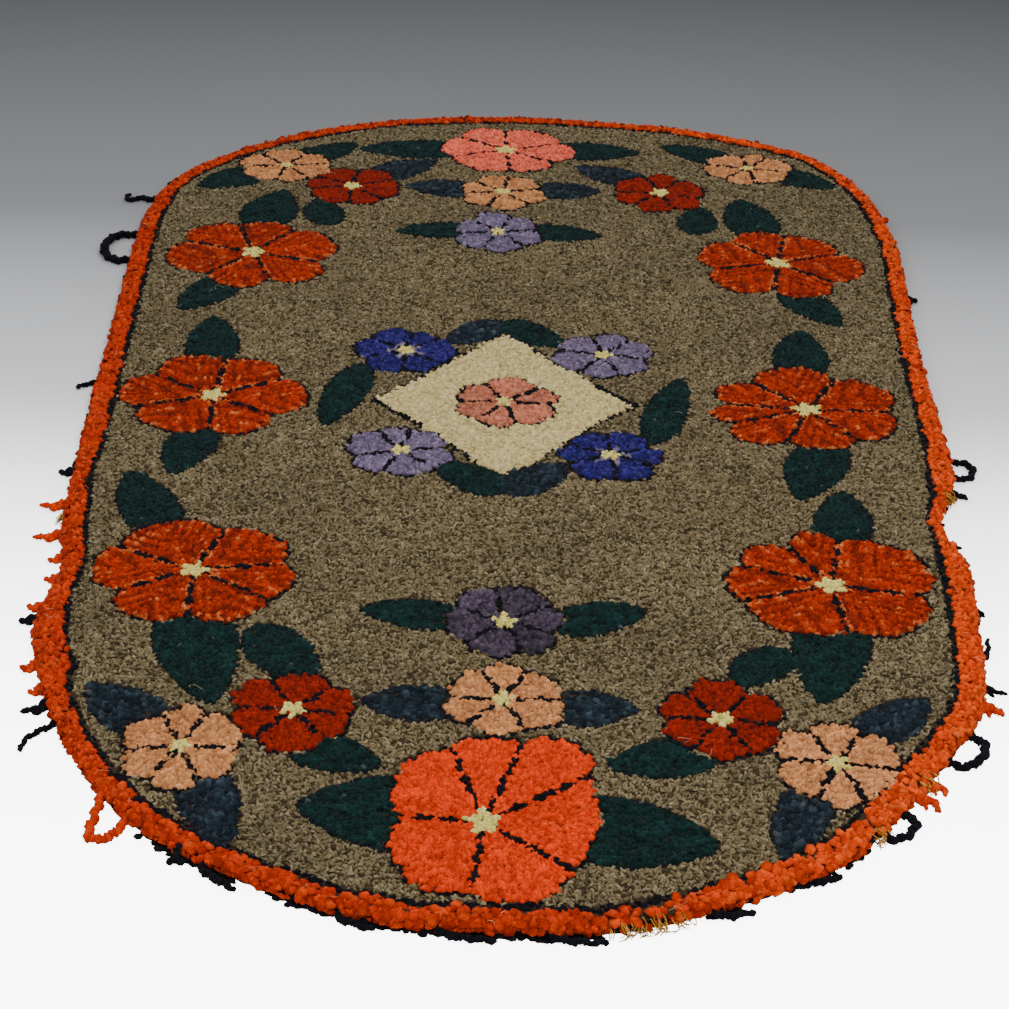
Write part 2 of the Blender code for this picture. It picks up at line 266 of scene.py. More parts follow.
# Yarn come loose from the rim: the nearest place on the rim across and
# along, its shape, its reach out, its spread along the rim, how thick it is,
# and its wool.
LOOSE = (
    (-0.337, 0.456, "tuft", 0.007, 0.006, 0.0055, "black"),
    (-0.345, 0.419, "curl", 0.033, 0.012, 0.0060, "black"),
    (-0.354, 0.303, "loop", 0.029, 0.064, 0.0068, "black"),
    (-0.351, 0.030, "end", 0.016, 0.010, 0.0052, "black"),
    (-0.347, -0.122, "tuft", 0.012, 0.010, 0.0060, "black"),
    (-0.346, -0.176, "tuft", 0.021, 0.008, 0.0062, "border"),
    (-0.343, -0.220, "tuft", 0.022, 0.006, 0.0062, "border"),
    (-0.337, -0.252, "tuft", 0.011, 0.006, 0.0055, "border"),
    (-0.335, -0.282, "tuft", 0.010, 0.006, 0.0055, "border"),
    (-0.341, -0.320, "tuft", 0.011, 0.010, 0.0060, "border"),
    (-0.342, -0.338, "tuft", 0.012, 0.004, 0.0070, "black"),
    (-0.331, -0.396, "tuft", 0.013, 0.006, 0.0062, "border"),
    (-0.323, -0.424, "tuft", 0.009, 0.008, 0.0050, "border"),
    (-0.317, -0.444, "tuft", 0.018, 0.004, 0.0060, "black"),
    (-0.309, -0.466, "end", 0.028, 0.020, 0.0052, "black"),
    (-0.254, -0.556, "lean", 0.029, 0.037, 0.0062, "border"),
    (-0.207, -0.602, "tuft", 0.012, 0.004, 0.0070, "black"),
    (-0.192, -0.612, "end", 0.007, 0.032, 0.0062, "black"),
    (-0.104, -0.655, "end", 0.005, 0.026, 0.0055, "black"),
    (-0.040, -0.670, "end", 0.005, 0.036, 0.0055, "black"),
    (0.030, -0.670, "end", 0.005, 0.034, 0.0055, "black"),
    (0.132, -0.650, "end", 0.007, 0.024, 0.0062, "black"),
    (0.196, -0.612, "end", 0.005, 0.018, 0.0055, "black"),
    (0.256, -0.555, "loop", 0.013, 0.030, 0.0060, "black"),
    (0.277, -0.528, "tuft", 0.018, 0.012, 0.0060, "border"),
    (0.286, -0.512, "tuft", 0.014, 0.010, 0.0055, "border"),
    (0.312, -0.471, "loop", 0.017, 0.040, 0.0062, "black"),
    (0.337, -0.422, "tuft", 0.014, 0.012, 0.0068, "border"),
    (0.342, -0.400, "tuft", 0.016, 0.004, 0.0045, "black"),
    (0.348, -0.360, "end", 0.006, 0.028, 0.0045, "black"),
    (0.353, -0.300, "tuft", 0.007, 0.006, 0.0050, "black"),
    (0.355, -0.206, "tuft", 0.009, 0.006, 0.0050, "black"),
    (0.360, -0.126, "tuft", 0.014, 0.006, 0.0060, "black"),
    (0.369, -0.086, "loop", 0.017, 0.030, 0.0056, "black"),
    (0.378, 0.232, "tuft", 0.009, 0.008, 0.0055, "black"),
)

# Worn places on the rim where the loops are gone and the jute shows: across,
# along, half their spread, and how much of the yarn is gone.
WORN = (
    (0.090, -0.658, 0.026, 0.60),
    (0.246, -0.571, 0.014, 0.50),
    (0.284, -0.514, 0.012, 0.50),
    (0.360, -0.135, 0.014, 0.40),
    (-0.343, -0.196, 0.016, 0.35),
)


def linear(code):
    """A six-digit sRGB code as a linear colour."""
    parts = np.array([int(code[i:i + 2], 16) for i in (0, 2, 4)]) / 255
    return np.where(parts <= 0.04045, parts / 12.92, ((parts + 0.055) / 1.055) ** 2.4)


PALETTE = {wool: np.array([linear(code) for code in codes]) for wool, codes in WOOLS.items()}


def dyed(wool, count, spread=0.10):
    """One colour a loop: a random skein of the wool, lighter or darker by spread."""
    skeins = PALETTE[wool]
    chance = np.full(len(skeins), 0.6 / (len(skeins) - 1))
    chance[0] = 0.4
    picked = skeins[RNG.choice(len(skeins), count, p=chance)]
    return picked * (1 + spread * RNG.standard_normal((count, 1))).clip(0.4, 1.8)


def ripple(x, y, scale, phase=0.0):
    """Smooth unevenness from -1 to 1: three crossed sine waves of about scale metres."""
    k = 2 * math.pi / scale
    first = np.sin(k * (0.91 * x + 0.42 * y) + phase)
    second = np.sin(k * (-0.37 * x + 1.13 * y) + 1.7 * phase + 1.0)
    third = np.sin(k * (0.68 * x - 0.79 * y) + 2.3 * phase + 2.0)
    return (first + second + third) / 3


def rim_from_frame():
    """The rug's outline, counter-clockwise, at 1800 equal steps.

    It is the underside of the mat's solid, sorted by its angle about the
    origin and moved out by the width of the sewn row.
    """
    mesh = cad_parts["hooked_mat"].data
    points = np.empty(3 * len(mesh.vertices))
    mesh.vertices.foreach_get("co", points)
    points = points.reshape(-1, 3)
    under = np.unique(points[points[:, 2] < 1e-4][:, :2].round(5), axis=0)
    under = under[np.hypot(under[:, 0] / 0.3, under[:, 1] / 0.5) > 0.8]
    under = under[np.argsort(np.arctan2(under[:, 1], under[:, 0]))]
    under = under + ROW_WIDTH * outward(under)
    return resample(under, 1800)


def lengths(path):
    """The length from a path's start to each of its points."""
    steps = np.linalg.norm(np.diff(path, axis=0), axis=1)
    return np.concatenate([[0], np.cumsum(steps)])


def at_lengths(path, places):
    """Points of a path at given lengths from its start."""
    length = lengths(path)
    return np.stack([np.interp(places, length, column) for column in path.T], axis=1)


def outward(points):
    """Unit normals of a closed counter-clockwise outline."""
    along = np.roll(points, -1, axis=0) - np.roll(points, 1, axis=0)
    normal = np.stack([along[:, 1], -along[:, 0]], axis=1)
    return normal / np.linalg.norm(normal, axis=1, keepdims=True)


def resample(points, count):
    """A closed outline at equal steps along its length."""
    closed = np.vstack([points, points[:1]])
    return at_lengths(closed, np.linspace(0, lengths(closed)[-1], count, endpoint=False))


RIM = rim_from_frame()
RIM_OUT = outward(RIM)
RIM_LENGTH = np.linalg.norm(np.roll(RIM, -1, axis=0) - RIM, axis=1).sum()


def round_rim(normal):
    """The direction along the rim at outward directions, as angles."""
    return np.arctan2(normal[:, 0], -normal[:, 1])


def depth_inside(x, y):
    """How far inside the rim each point lies, measured square to the rim's nearest step."""
    coarse = RIM[::3]
    normals = RIM_OUT[::3]
    depth = np.empty(len(x))
    for start in range(0, len(x), 20000):
        part = slice(start, start + 20000)
        dx = x[part, None] - coarse[None, :, 0]
        dy = y[part, None] - coarse[None, :, 1]
        near = (dx ** 2 + dy ** 2).argmin(axis=1)
        row = np.arange(len(near))
        depth[part] = -(dx[row, near] * normals[near, 0] + dy[row, near] * normals[near, 1])
    return depth


def border_width(x, y):
    """The border's width: read off the left and right tables, with a small ripple."""
    left = np.interp(y, *np.transpose(BORDER_LEFT))
    right = np.interp(y, *np.transpose(BORDER_RIGHT))
    share = np.clip(0.5 + x / 0.1, 0, 1)
    return left + (right - left) * share + 0.0012 * ripple(x, y, 0.05, 2.0)


def pile_height(x, y):
    """The height of the pile's tips, gently lumpy as the solid is."""
    lumps = 0.6 * np.sin(37 * x + 1.3) * np.cos(29 * y + 0.4)
    lumps += 0.4 * np.sin(71 * x - 53 * y) * np.cos(61 * x + 47 * y + 2.0)
    return PILE_TOP + LUMP * lumps


def petals_of(flower):
    """A flower's veins as sorted angles in its own frame, with its notches and reaches.

    A notch is the edge's share at a vein, and a reach its share at the middle
    of the petal after it.
    """
    name, half, long, wool, veins = flower[0], flower[3], flower[4], flower[5], flower[7]
    local = np.random.default_rng(sum(ord(letter) for letter in name))
    if isinstance(veins, (int, float)):
        veins = veins + 60 * (np.arange(6) + local.uniform(-0.16, 0.16, 6))
    veins = np.radians(veins)
    veins = np.sort(np.mod(np.arctan2(np.sin(veins) / long, np.cos(veins) / half), 2 * np.pi))
    if name == "near end":
        return veins, np.array(FRONT_NOTCH), np.array(FRONT_REACH)
    low, high = (0.76, 0.86) if wool == "orange" else (0.80, 0.89)
    notch = local.uniform(low, high, len(veins))
    return veins, notch, local.uniform(0.93, 1.05, len(veins))


def petal_edge(angle, flower):
    """A flower's edge as a share of its half sizes, and the angle to its nearest vein.

    Between two veins it swells from the notches to a blunt lobe, and small
    cusps make it as spiky as hooking.
    """
    veins, notch, reach = petals_of(flower)
    angle = np.mod(angle, 2 * np.pi)
    index = np.searchsorted(veins, angle) - 1
    start = veins[index]
    span = np.mod(np.roll(veins, -1)[index] - start, 2 * np.pi)
    share = np.mod(angle - start, 2 * np.pi) / span
    sides = notch[index] * (1 - share) + np.roll(notch, -1)[index] * share
    middle = 0.5 * (notch[index] + np.roll(notch, -1)[index])
    lobe = (reach[index] - middle) * (1 - np.abs(2 * share - 1) ** 2.1)
    seed = 37 * flower[1] + 53 * flower[2]
    cusps = 0.0026 * (np.abs(np.sin(np.pi * angle * flower[3] / PETAL_CUSP + seed)) - 0.6)
    cusps += 0.0012 * np.sin(11 * angle + seed) + 0.0008 * np.sin(29 * angle + 2 * seed)
    nearest = np.minimum(share, 1 - share) * span
    return sides + lobe + cusps / flower[3], nearest


def leaf_frame(x, y, leaf):
    """Points in a leaf's own terms: share along from root to tip, and metres across."""
    _, root_x, root_y, tip_x, tip_y, _, _ = leaf
    length = math.hypot(tip_x - root_x, tip_y - root_y)
    ux, uy = (tip_x - root_x) / length, (tip_y - root_y) / length
    along = ((x - root_x) * ux + (y - root_y) * uy) / length
    across = -(x - root_x) * uy + (y - root_y) * ux
    return along, across, length


def leaf_half_width(along, leaf):
    """Half a leaf's width: a bow from root to tip, widest before the middle, with small teeth."""
    share = np.clip(along, 0, 1)
    bow = np.sin(np.pi * share ** 0.78) ** 0.66
    length = math.hypot(leaf[3] - leaf[1], leaf[4] - leaf[2])
    teeth = 0.0024 * (np.abs(np.sin(np.pi * length * share / LEAF_CUSP + 40 * leaf[1])) - 0.6)
    return (0.5 * leaf[5] * bow + teeth) * (bow > 0)


def grid(pitch, x0, x1, y0, y1, turn, jitter):
    """Rows of loops a pitch apart, every other row half a step on, turned and jittered."""
    reach = 0.5 * math.hypot(x1 - x0, y1 - y0) + pitch
    rows = np.arange(-reach, reach, 0.88 * pitch)
    steps = np.arange(-reach, reach, pitch)
    u, v = np.meshgrid(steps, rows)
    u = u + 0.5 * pitch * (np.arange(len(rows)) % 2)[:, None]
    u, v = u.ravel(), v.ravel()
    u = u + jitter * pitch * RNG.standard_normal(len(u))
    v = v + jitter * pitch * RNG.standard_normal(len(v))
    c, s = math.cos(turn), math.sin(turn)
    x = 0.5 * (x0 + x1) + c * u - s * v
    y = 0.5 * (y0 + y1) + s * u + c * v
    inside = (x > x0) & (x < x1) & (y > y0) & (y < y1)
    return x[inside], y[inside]


def tufted(x, y, pitch):
    """How loops bunch in tufts: how deep in a crack each one is, and its tuft's own chance.

    Tufts are the cells of a jittered grid. A loop is in a crack when two
    cell centres are almost equally near.
    """
    if len(x) == 0:
        return x, x
    sx, sy = grid(pitch, x.min() - pitch, x.max() + pitch, y.min() - pitch, y.max() + pitch, x[0], 0.26)
    far = np.hypot(x[:, None] - sx, y[:, None] - sy)
    near = np.partition(far, 1, axis=1)[:, :2]
    crack = np.clip(1 - (near[:, 1] - near[:, 0]) / CRACK, 0, 1)
    return crack, RNG.standard_normal(len(sx))[far.argmin(axis=1)]


class Pile:
    """Loops gathered by the piece that they go to."""

    def __init__(self):
        self.parts = {}

    def add(self, piece, x, y, turn, size, colour, lift, narrow=0.82):
        """Adds loops on the flat pile: place, direction, length, colour, lift and width share."""
        top = pile_height(x, y) + lift + 0.00035 * RNG.standard_normal(len(x))
        facing = np.column_stack([0.16 * RNG.standard_normal((len(x), 2)), np.ones(len(x))])
        self.place(piece, np.column_stack([x, y, top]), facing, turn, size, colour, narrow)

    def place(self, piece, tips, facing, turn, size, colour, narrow):
        """Adds loops anywhere: tips, the way they face, direction, length, colour and width share."""
        size = size * (1 + 0.13 * RNG.standard_normal(len(tips))).clip(0.7, 1.35)
        facing = facing / np.linalg.norm(facing, axis=1, keepdims=True)
        columns = np.column_stack([tips, facing, turn, size, narrow * size, colour])
        self.parts.setdefault(piece, []).append(columns)

    def loops(self, piece):
        """All loops of one piece."""
        return np.vstack(self.parts[piece])


# A wool loop as a six-sided pebble with a ridge, and a smaller one as a grain.
# Their tops are at z = 0 and their points count in lengths, widths and heights.
PEBBLE = np.array([
    (-0.62, 0.0, -0.62), (-0.34, -0.55, -0.55), (0.34, -0.55, -0.55),
    (0.62, 0.0, -0.62), (0.34, 0.55, -0.55), (-0.34, 0.55, -0.55),
    (-0.24, 0.0, 0.0), (0.24, 0.0, 0.0),
])
PEBBLE_FACES = np.array([
    (0, 1, 6), (1, 2, 7), (1, 7, 6), (2, 3, 7), (3, 4, 7), (4, 5, 6), (4, 6, 7), (5, 0, 6),
])
GRAIN = np.array([
    (-0.62, -0.18, -0.60), (0.50, -0.55, -0.60), (0.62, 0.18, -0.60),
    (-0.50, 0.55, -0.60), (-0.20, 0.0, 0.0), (0.22, 0.0, -0.03),
])
GRAIN_FACES = np.array([(0, 1, 5), (0, 5, 4), (1, 2, 5), (2, 3, 4), (2, 4, 5), (3, 0, 4)])


def mesh_from(name, points, faces, colours=None):
    """A smooth mesh object from arrays, with its wool colour kept as an attribute."""
    mesh = bpy.data.meshes.new(name)
    sides = faces.shape[1]
    mesh.vertices.add(len(points))
    mesh.vertices.foreach_set("co", points.astype(np.float32).ravel())
    mesh.loops.add(faces.size)
    mesh.loops.foreach_set("vertex_index", faces.astype(np.int32).ravel())
    mesh.polygons.add(len(faces))
    mesh.polygons.foreach_set("loop_start", np.arange(0, faces.size, sides, dtype=np.int32))
    mesh.update(calc_edges=True)
    mesh.validate()
    mesh.shade_smooth()
    if colours is not None:
        dye = mesh.attributes.new("wool", "FLOAT_COLOR", "POINT")
        opaque = np.column_stack([colours, np.ones(len(colours))])
        dye.data.foreach_set("color", opaque.astype(np.float32).ravel())
    piece = bpy.data.objects.new(name, mesh)
    bpy.context.scene.collection.objects.link(piece)
    return piece


def loop_piece(name, loops, shape, shape_faces):
    """Copies one small shape to every loop, turned, tilted, sized and dyed by its row.

    Ahead is the loop's direction laid square to the way it faces, and side is
    square to both. The colour is a little lighter at the loop's tip, as wear,
    and much darker at its foot, as painted shade between the loops.
    """
    count = len(loops)
    facing, turn = loops[:, 3:6], loops[:, 6]
    ahead = np.column_stack([np.cos(turn), np.sin(turn), np.zeros(count)])
    ahead -= (ahead * facing).sum(axis=1, keepdims=True) * facing
    ahead /= np.linalg.norm(ahead, axis=1, keepdims=True)
    side = np.cross(facing, ahead)
    long = loops[:, 7][:, None] * shape[:, 0]
    wide = loops[:, 8][:, None] * shape[:, 1]
    high = loops[:, 8][:, None] * shape[:, 2]
    points = loops[:, None, :3] + long[..., None] * ahead[:, None]
    points += wide[..., None] * side[:, None] + high[..., None] * facing[:, None]
    points = points.reshape(-1, 3)
    points[:, 2] = np.maximum(points[:, 2], FLOOR_GAP)
    faces = (shape_faces[None] + len(shape) * np.arange(count)[:, None, None]).reshape(-1, 3)
    # Painted shade: each loop's foot is darkened to under half, as the shade between loops; its tip is a
    # little lighter, as wear.
    tip = np.where(shape[:, 2] > -0.3, 1.10, 0.46)
    colours = (loops[:, None, 9:12] * tip[None, :, None]).reshape(-1, 3)
    return mesh_from(name, points, faces, colours)


def hook_flower(pile, flower):
    """Hooks one flower: its broken edge row, its veins, its petals and its centre.

    The centre is a star of five points. A vein is where the nearest vein's
    angle is a loop or less away, but for gaps at the trough of a long wave.
    """
    _, across, along, half, long, wool, heart, _ = flower
    count = int(2 * np.pi * math.sqrt((half ** 2 + long ** 2) / 2) * 1.12 / OUTLINE_PITCH)
    angle = np.linspace(0, 2 * np.pi, count, endpoint=False)
    edge, _ = petal_edge(angle, flower)
    out = edge + 0.45 * OUTLINE_WIDTH / half
    x = across + half * out * np.cos(angle)
    y = along + long * out * np.sin(angle)
    direction = np.arctan2(np.roll(y, -1) - np.roll(y, 1), np.roll(x, -1) - np.roll(x, 1))
    kept = ripple(x, y, 0.034, 9 * across) + 0.25 * RNG.standard_normal(count) > -0.52
    pile.add("outline_loops", x[kept], y[kept], direction[kept], OUTLINE_PITCH * OVERLAP["flower edge"],
             dyed("black", kept.sum()), -0.0007)
    gap = ~kept
    pile.add("outline_loops", x[gap], y[gap], direction[gap], OUTLINE_PITCH * OVERLAP["edge gap"],
             dyed("ground", gap.sum()), -0.0007)
    reach = 1.3 * max(half, long)
    x, y = grid(MOTIF_PITCH, across - reach, across + reach, along - reach, along + reach, 31 * across, 0.15)
    u, v = (x - across) / half, (y - along) / long
    angle = np.arctan2(v, u)
    share = np.hypot(u, v)
    edge, to_vein = petal_edge(angle, flower)
    keep = share < edge + 0.3 * MOTIF_PITCH / half * RNG.uniform(-1, 1, len(x))
    x, y, angle, share, to_vein, edge = (a[keep] for a in (x, y, angle, share, to_vein, edge))
    star = 0.80 * heart * (1 + 0.30 * np.sin(5 * angle + 20 * across))
    centre = share < star
    dash = np.sin(2 * np.pi * share * half / VEIN_DASH + 6 * np.sin(3 * angle) + 30 * across)
    reaches = (share > 1.15 * star) & (share < 0.86 * edge) | (share > 0.90 * edge)
    broad = 0.0024 if wool == "orange" else 0.0021
    vein = (to_vein * share * half < broad + 0.0005 * dash) & reaches & (dash > -0.90)
    petal = ~centre & ~vein
    turns = angle + 0.7 * RNG.standard_normal(len(x))
    crack, own = tufted(x, y, PETAL_TUFT)
    colour = dyed(wool, len(x), 0.06) * (1 + 0.07 * own)[:, None]
    veins = petals_of(flower)[0]
    tone = RNG.uniform(-1, 1, len(veins) + 1) * (0.42 if wool == "purple" else 0.09)
    colour *= (1 + tone)[np.searchsorted(veins, np.mod(angle, 2 * np.pi))][:, None]
    if wool == "orange":
        beside = to_vein * share * half
        streak = np.sin(2 * np.pi * beside / STREAK + 9 * np.sin(2 * angle + 40 * across))
        streak = streak + 0.7 * ripple(3 * x, 3 * y, 0.075, 9 * along) + 0.14 * RNG.standard_normal(len(x))
        rim = ((edge - share) * half < 0.0042) | (beside < 0.0046)
        pale = streak + 0.85 * rim > 1.20
        colour[pale] = dyed("salmon", pale.sum(), 0.10)
        dark = (streak < -0.55) & ~pale
        colour[dark] *= 0.52
    if wool == "violet":
        pale = (share < 2.0 * star) & ~centre
        colour[pale] = dyed("lavender", pale.sum(), 0.08)
    if wool in ("peach", "rose"):
        colour *= (1 + 0.12 * ripple(x, y, 0.02, 2.0))[:, None]
    # Painted shade: loops in a crack between tufts are darkened, besides being set lower.
    colour *= (1 - 0.42 * crack)[:, None]
    lift = 0.0004 - 0.0010 * crack + 0.0002 * own
    piece = "orange_petal_loops" if wool == "orange" else "petal_loops"
    pile.add(piece, x[petal], y[petal], turns[petal], MOTIF_PITCH * OVERLAP["petal"],
             colour[petal], lift[petal], 0.95)
    pile.add("outline_loops", x[vein], y[vein], angle[vein], MOTIF_PITCH * OVERLAP["vein"],
             dyed("black", vein.sum()), 0.0001)
    pile.add("petal_loops", x[centre], y[centre], turns[centre], MOTIF_PITCH * OVERLAP["centre"],
             dyed("yellow", centre.sum(), 0.06), 0.0007, 0.9)


def in_flower(x, y, flower):
    """Which points lie on a flower or on the row round it."""
    _, across, along, half, long = flower[:5]
    u, v = (x - across) / half, (y - along) / long
    edge, _ = petal_edge(np.arctan2(v, u), flower)
    return np.hypot(u, v) < edge + OUTLINE_WIDTH / half


def hook_leaf(pile, leaf):
    """Hooks one leaf in rows along its length, almost black in the row round its edge."""
    _, root_x, root_y, tip_x, tip_y, widest, wool = leaf
    turn = math.atan2(tip_y - root_y, tip_x - root_x)
    reach = 0.6 * math.hypot(tip_x - root_x, tip_y - root_y) + 0.5 * widest
    mid_x, mid_y = 0.5 * (root_x + tip_x), 0.5 * (root_y + tip_y)
    pitch = (1.25 if wool == "navy" else 1.05) * MOTIF_PITCH
    x, y = grid(pitch, mid_x - reach, mid_x + reach, mid_y - reach, mid_y + reach, turn, 0.16)
    along, across, length = leaf_frame(x, y, leaf)
    half = leaf_half_width(along, leaf)
    keep = (np.abs(across) < half) & (along > 0) & (along < 1)
    for flower in FLOWERS:
        keep[keep] &= ~in_flower(x[keep], y[keep], flower)
    x, y, along, across, half = (a[keep] for a in (x, y, along, across, half))
    near_edge = (half - np.abs(across) < 0.0026) | (along > 1 - 0.0026 / length)
    near_edge &= ripple(x, y, 0.04, 5 * root_x) > -0.35
    crack, own = tufted(x, y, LEAF_TUFT if wool == "green" else NAVY_TUFT)
    colour = dyed(wool, len(x), 0.13) * (1 + 0.11 * own).clip(0.5, 1.6)[:, None]
    colour *= (1 + 0.22 * ripple(x, y, 0.022, 30 * root_x))[:, None]
    # Painted shade: loops in a crack between tufts are darkened, besides being set lower.
    colour *= (1 - 0.40 * crack)[:, None]
    colour[near_edge] = 0.3 * colour[near_edge] + 0.7 * dyed("black", near_edge.sum())
    speck = RNG.random(len(x)) < 0.004
    colour[speck] = 0.5 * colour[speck] + 0.05
    turns = turn + 0.6 * RNG.standard_normal(len(x))
    lift = 0.0002 - 0.0006 * near_edge - 0.0009 * crack + 0.0003 * own
    pile.add("leaf_loops", x, y, turns, pitch * OVERLAP["leaf"], colour, lift, 0.95)


def in_leaf(x, y, leaf):
    """Which points lie on a leaf."""
    along, across, _ = leaf_frame(x, y, leaf)
    return (np.abs(across) < leaf_half_width(along, leaf) + 0.0006) & (along > 0) & (along < 1)


def in_diamond(x, y, grow=0.0):
    """Which points lie on the cream diamond, whose sides bow in a little, with small cusps."""
    u, v = np.abs(x) / (DIAMOND[0] + grow), np.abs(y) / (DIAMOND[1] + grow)
    cusps = 0.045 * np.abs(np.sin(np.pi * (x + y) / DIAMOND_CUSP)) + 0.010 * np.sin(260 * x - 190 * y)
    return u ** 0.92 + v ** 0.92 < 1.015 - cusps


def taken(x, y):
    """Which points a flower or a leaf already covers."""
    full = np.zeros(len(x), bool)
    for flower in FLOWERS:
        full |= in_flower(x, y, flower)
    for leaf in LEAVES:
        full |= in_leaf(x, y, leaf)
    return full


def hook_ground(pile):
    """Hooks the tweed ground up to the border's inner line, in small mixed loops."""
    x, y = grid(GROUND_PITCH, -0.37, 0.37, -0.68, 0.65, 0.03, 0.24)
    x = x + 0.0012 * ripple(x, y, 0.06)
    depth = depth_inside(x, y)
    inner = border_width(x, y) + 0.0022 + (INNER_LINE - 0.0022) * np.where(x < 0, 1.0, 1.1)
    keep = (depth > inner) & ~taken(x, y) & ~in_diamond(x, y, OUTLINE_WIDTH)
    x, y = x[keep], y[keep]
    colour = dyed("ground", len(x), 0.10)
    cloud = 1 + 0.10 * ripple(x, y, 0.17, 0.6) + 0.07 * ripple(x, y, 0.04, 2.0)
    turns = RNG.uniform(0, np.pi, len(x))
    bands = np.digitize(y, (-0.33, 0.02, 0.30))
    for number, piece in enumerate(("near", "middle", "upper", "far")):
        part = bands == number
        lift = -0.0004 - 0.0005 * (RNG.random(part.sum()) < 0.2)
        pile.add("ground_loops_" + piece, x[part], y[part], turns[part], GROUND_PITCH * OVERLAP["ground"],
                 colour[part] * cloud[part, None], lift, 0.72)


def hook_diamond(pile):
    """Hooks the cream diamond and the dark row round it."""
    x, y = grid(MOTIF_PITCH, -0.13, 0.13, -0.16, 0.16, 0.4, 0.16)
    free = ~taken(x, y)
    inside = in_diamond(x, y) & free
    row = in_diamond(x, y, OUTLINE_WIDTH) & ~in_diamond(x, y) & free
    turns = 0.4 + 0.6 * RNG.standard_normal(len(x))
    crack, own = tufted(x[inside], y[inside], CREAM_TUFT)
    # Painted shade: loops in a crack between tufts are darkened, besides being set lower.
    colour = dyed("cream", inside.sum(), 0.06) * (1 - 0.30 * crack)[:, None]
    pile.add("cream_loops", x[inside], y[inside], turns[inside], MOTIF_PITCH * OVERLAP["cream"],
             colour, 0.0002 - 0.0008 * crack, 0.95)
    pile.add("outline_loops", x[row], y[row], turns[row], MOTIF_PITCH * OVERLAP["diamond edge"],
             dyed("black", row.sum()), -0.0004)


def rim_places(pitch):
    """Places a pitch apart round the rim: points and outward directions, with a jitter."""
    count = int(RIM_LENGTH / pitch)
    place = (np.arange(count) + RNG.uniform(0, 1)) / count * len(RIM)
    place = place + 0.18 * len(RIM) / count * RNG.standard_normal(count)
    index = np.mod(place, len(RIM)).astype(int)
    return RIM[index], RIM_OUT[index]


def over_rim(point, normal, reach):
    """Places on the pile a reach in from the foot of its roll, and the way they face.

    The pile is flat inside and turns down over the rim on a quarter-round of
    radius ROLL, then a little under it. Reach is measured along that surface.
    """
    turn = np.clip(ROLL_TURN - reach / ROLL, 0, None)
    flat = np.clip(reach - ROLL * ROLL_TURN, 0, None)
    depth = ROLL * (1 - np.sin(turn)) + flat
    place = point - normal * depth[:, None]
    height = pile_height(place[:, 0], place[:, 1]) - ROLL * (1 - np.cos(turn))
    facing = np.column_stack([normal * np.sin(turn)[:, None], np.cos(turn)])
    return np.column_stack([place, height]), facing


def wear(x, y):
    """The share of the yarn that is gone at each place, from the worn places."""
    gone = np.zeros(len(x))
    for across, along, spread, amount in WORN:
        far = ((x - across) ** 2 + (y - along) ** 2) / spread ** 2
        gone = np.maximum(gone, amount * np.exp(-far))
    return gone


def hook_border(pile):
    """Hooks the border in rows from the foot of the rim inwards, and the dark line inside it.

    The rows and their loops are coarser at the near end, and the wool is
    painted brighter and yellower towards the right side, as painted light from that side.
    """
    arc = ROLL * (ROLL_TURN - 1)
    for row in range(BORDER_ROWS):
        point, normal = rim_places(BORDER_PITCH)
        x, y = point.T
        uneven = 0.0010 * ripple(x, y, 0.030, 5.0) + 0.0006 * ripple(x, y, 0.011, 1.0)
        point = point + normal * uneven[:, None]
        coarse = 1 + 0.32 * np.clip((-0.48 - y) / 0.12, 0, 1)
        full = border_width(x, y) + arc
        reach = (row + 0.42) * BORDER_ROW * coarse + 0.0005 * RNG.standard_normal(len(point))
        tips, facing = over_rim(point, normal, reach)
        kept = (reach < full) & (RNG.random(len(tips)) < 1.10 / coarse)
        kept &= RNG.random(len(tips)) > wear(tips[:, 0], tips[:, 1]) * (1.2 if row < 4 else 0.5)
        tips, facing, normal, coarse = tips[kept], facing[kept], normal[kept], coarse[kept]
        tips += facing * (0.0005 + 0.0007 * RNG.standard_normal(len(tips)))[:, None]
        facing += 0.30 * RNG.standard_normal(facing.shape)
        colour = dyed("border", len(tips), 0.12)
        pale = ripple(tips[:, 0], tips[:, 1], 0.05, 3.0) + 0.6 * RNG.standard_normal(len(tips)) > 1.45
        colour[pale] = 0.7 * colour[pale] + 0.3 * PALETTE["salmon"][0]
        # Painted light: the border's colour is raised towards the right, as if lit from that side.
        painted_right_light = np.clip((tips[:, 0] - 0.02) / 0.25, 0, 1)[:, None]
        colour *= 1 + painted_right_light * (0.34, 0.75, 0.2)
        turn = round_rim(normal) + RNG.uniform(-1.4, 1.4, len(tips))
        size = BORDER_PITCH * OVERLAP["border"] * coarse
        pile.place("border_loops", tips, facing, turn, size, colour, 0.92)
    for step, share in ((0.30, 1.0), (0.86, 0.75)):
        point, normal = rim_places(OUTLINE_PITCH * 1.1)
        depth = border_width(point[:, 0], point[:, 1]) + step * INNER_LINE
        depth = depth + 0.0007 * RNG.standard_normal(len(depth))
        x, y = (point - normal * depth[:, None]).T
        kept = RNG.random(len(x)) < share
        turn = round_rim(normal) + 0.4 * RNG.standard_normal(len(x))
        pile.add("outline_loops", x[kept], y[kept], turn[kept], OUTLINE_PITCH * OVERLAP["inner line"],
                 dyed("black", kept.sum()), -0.0005)


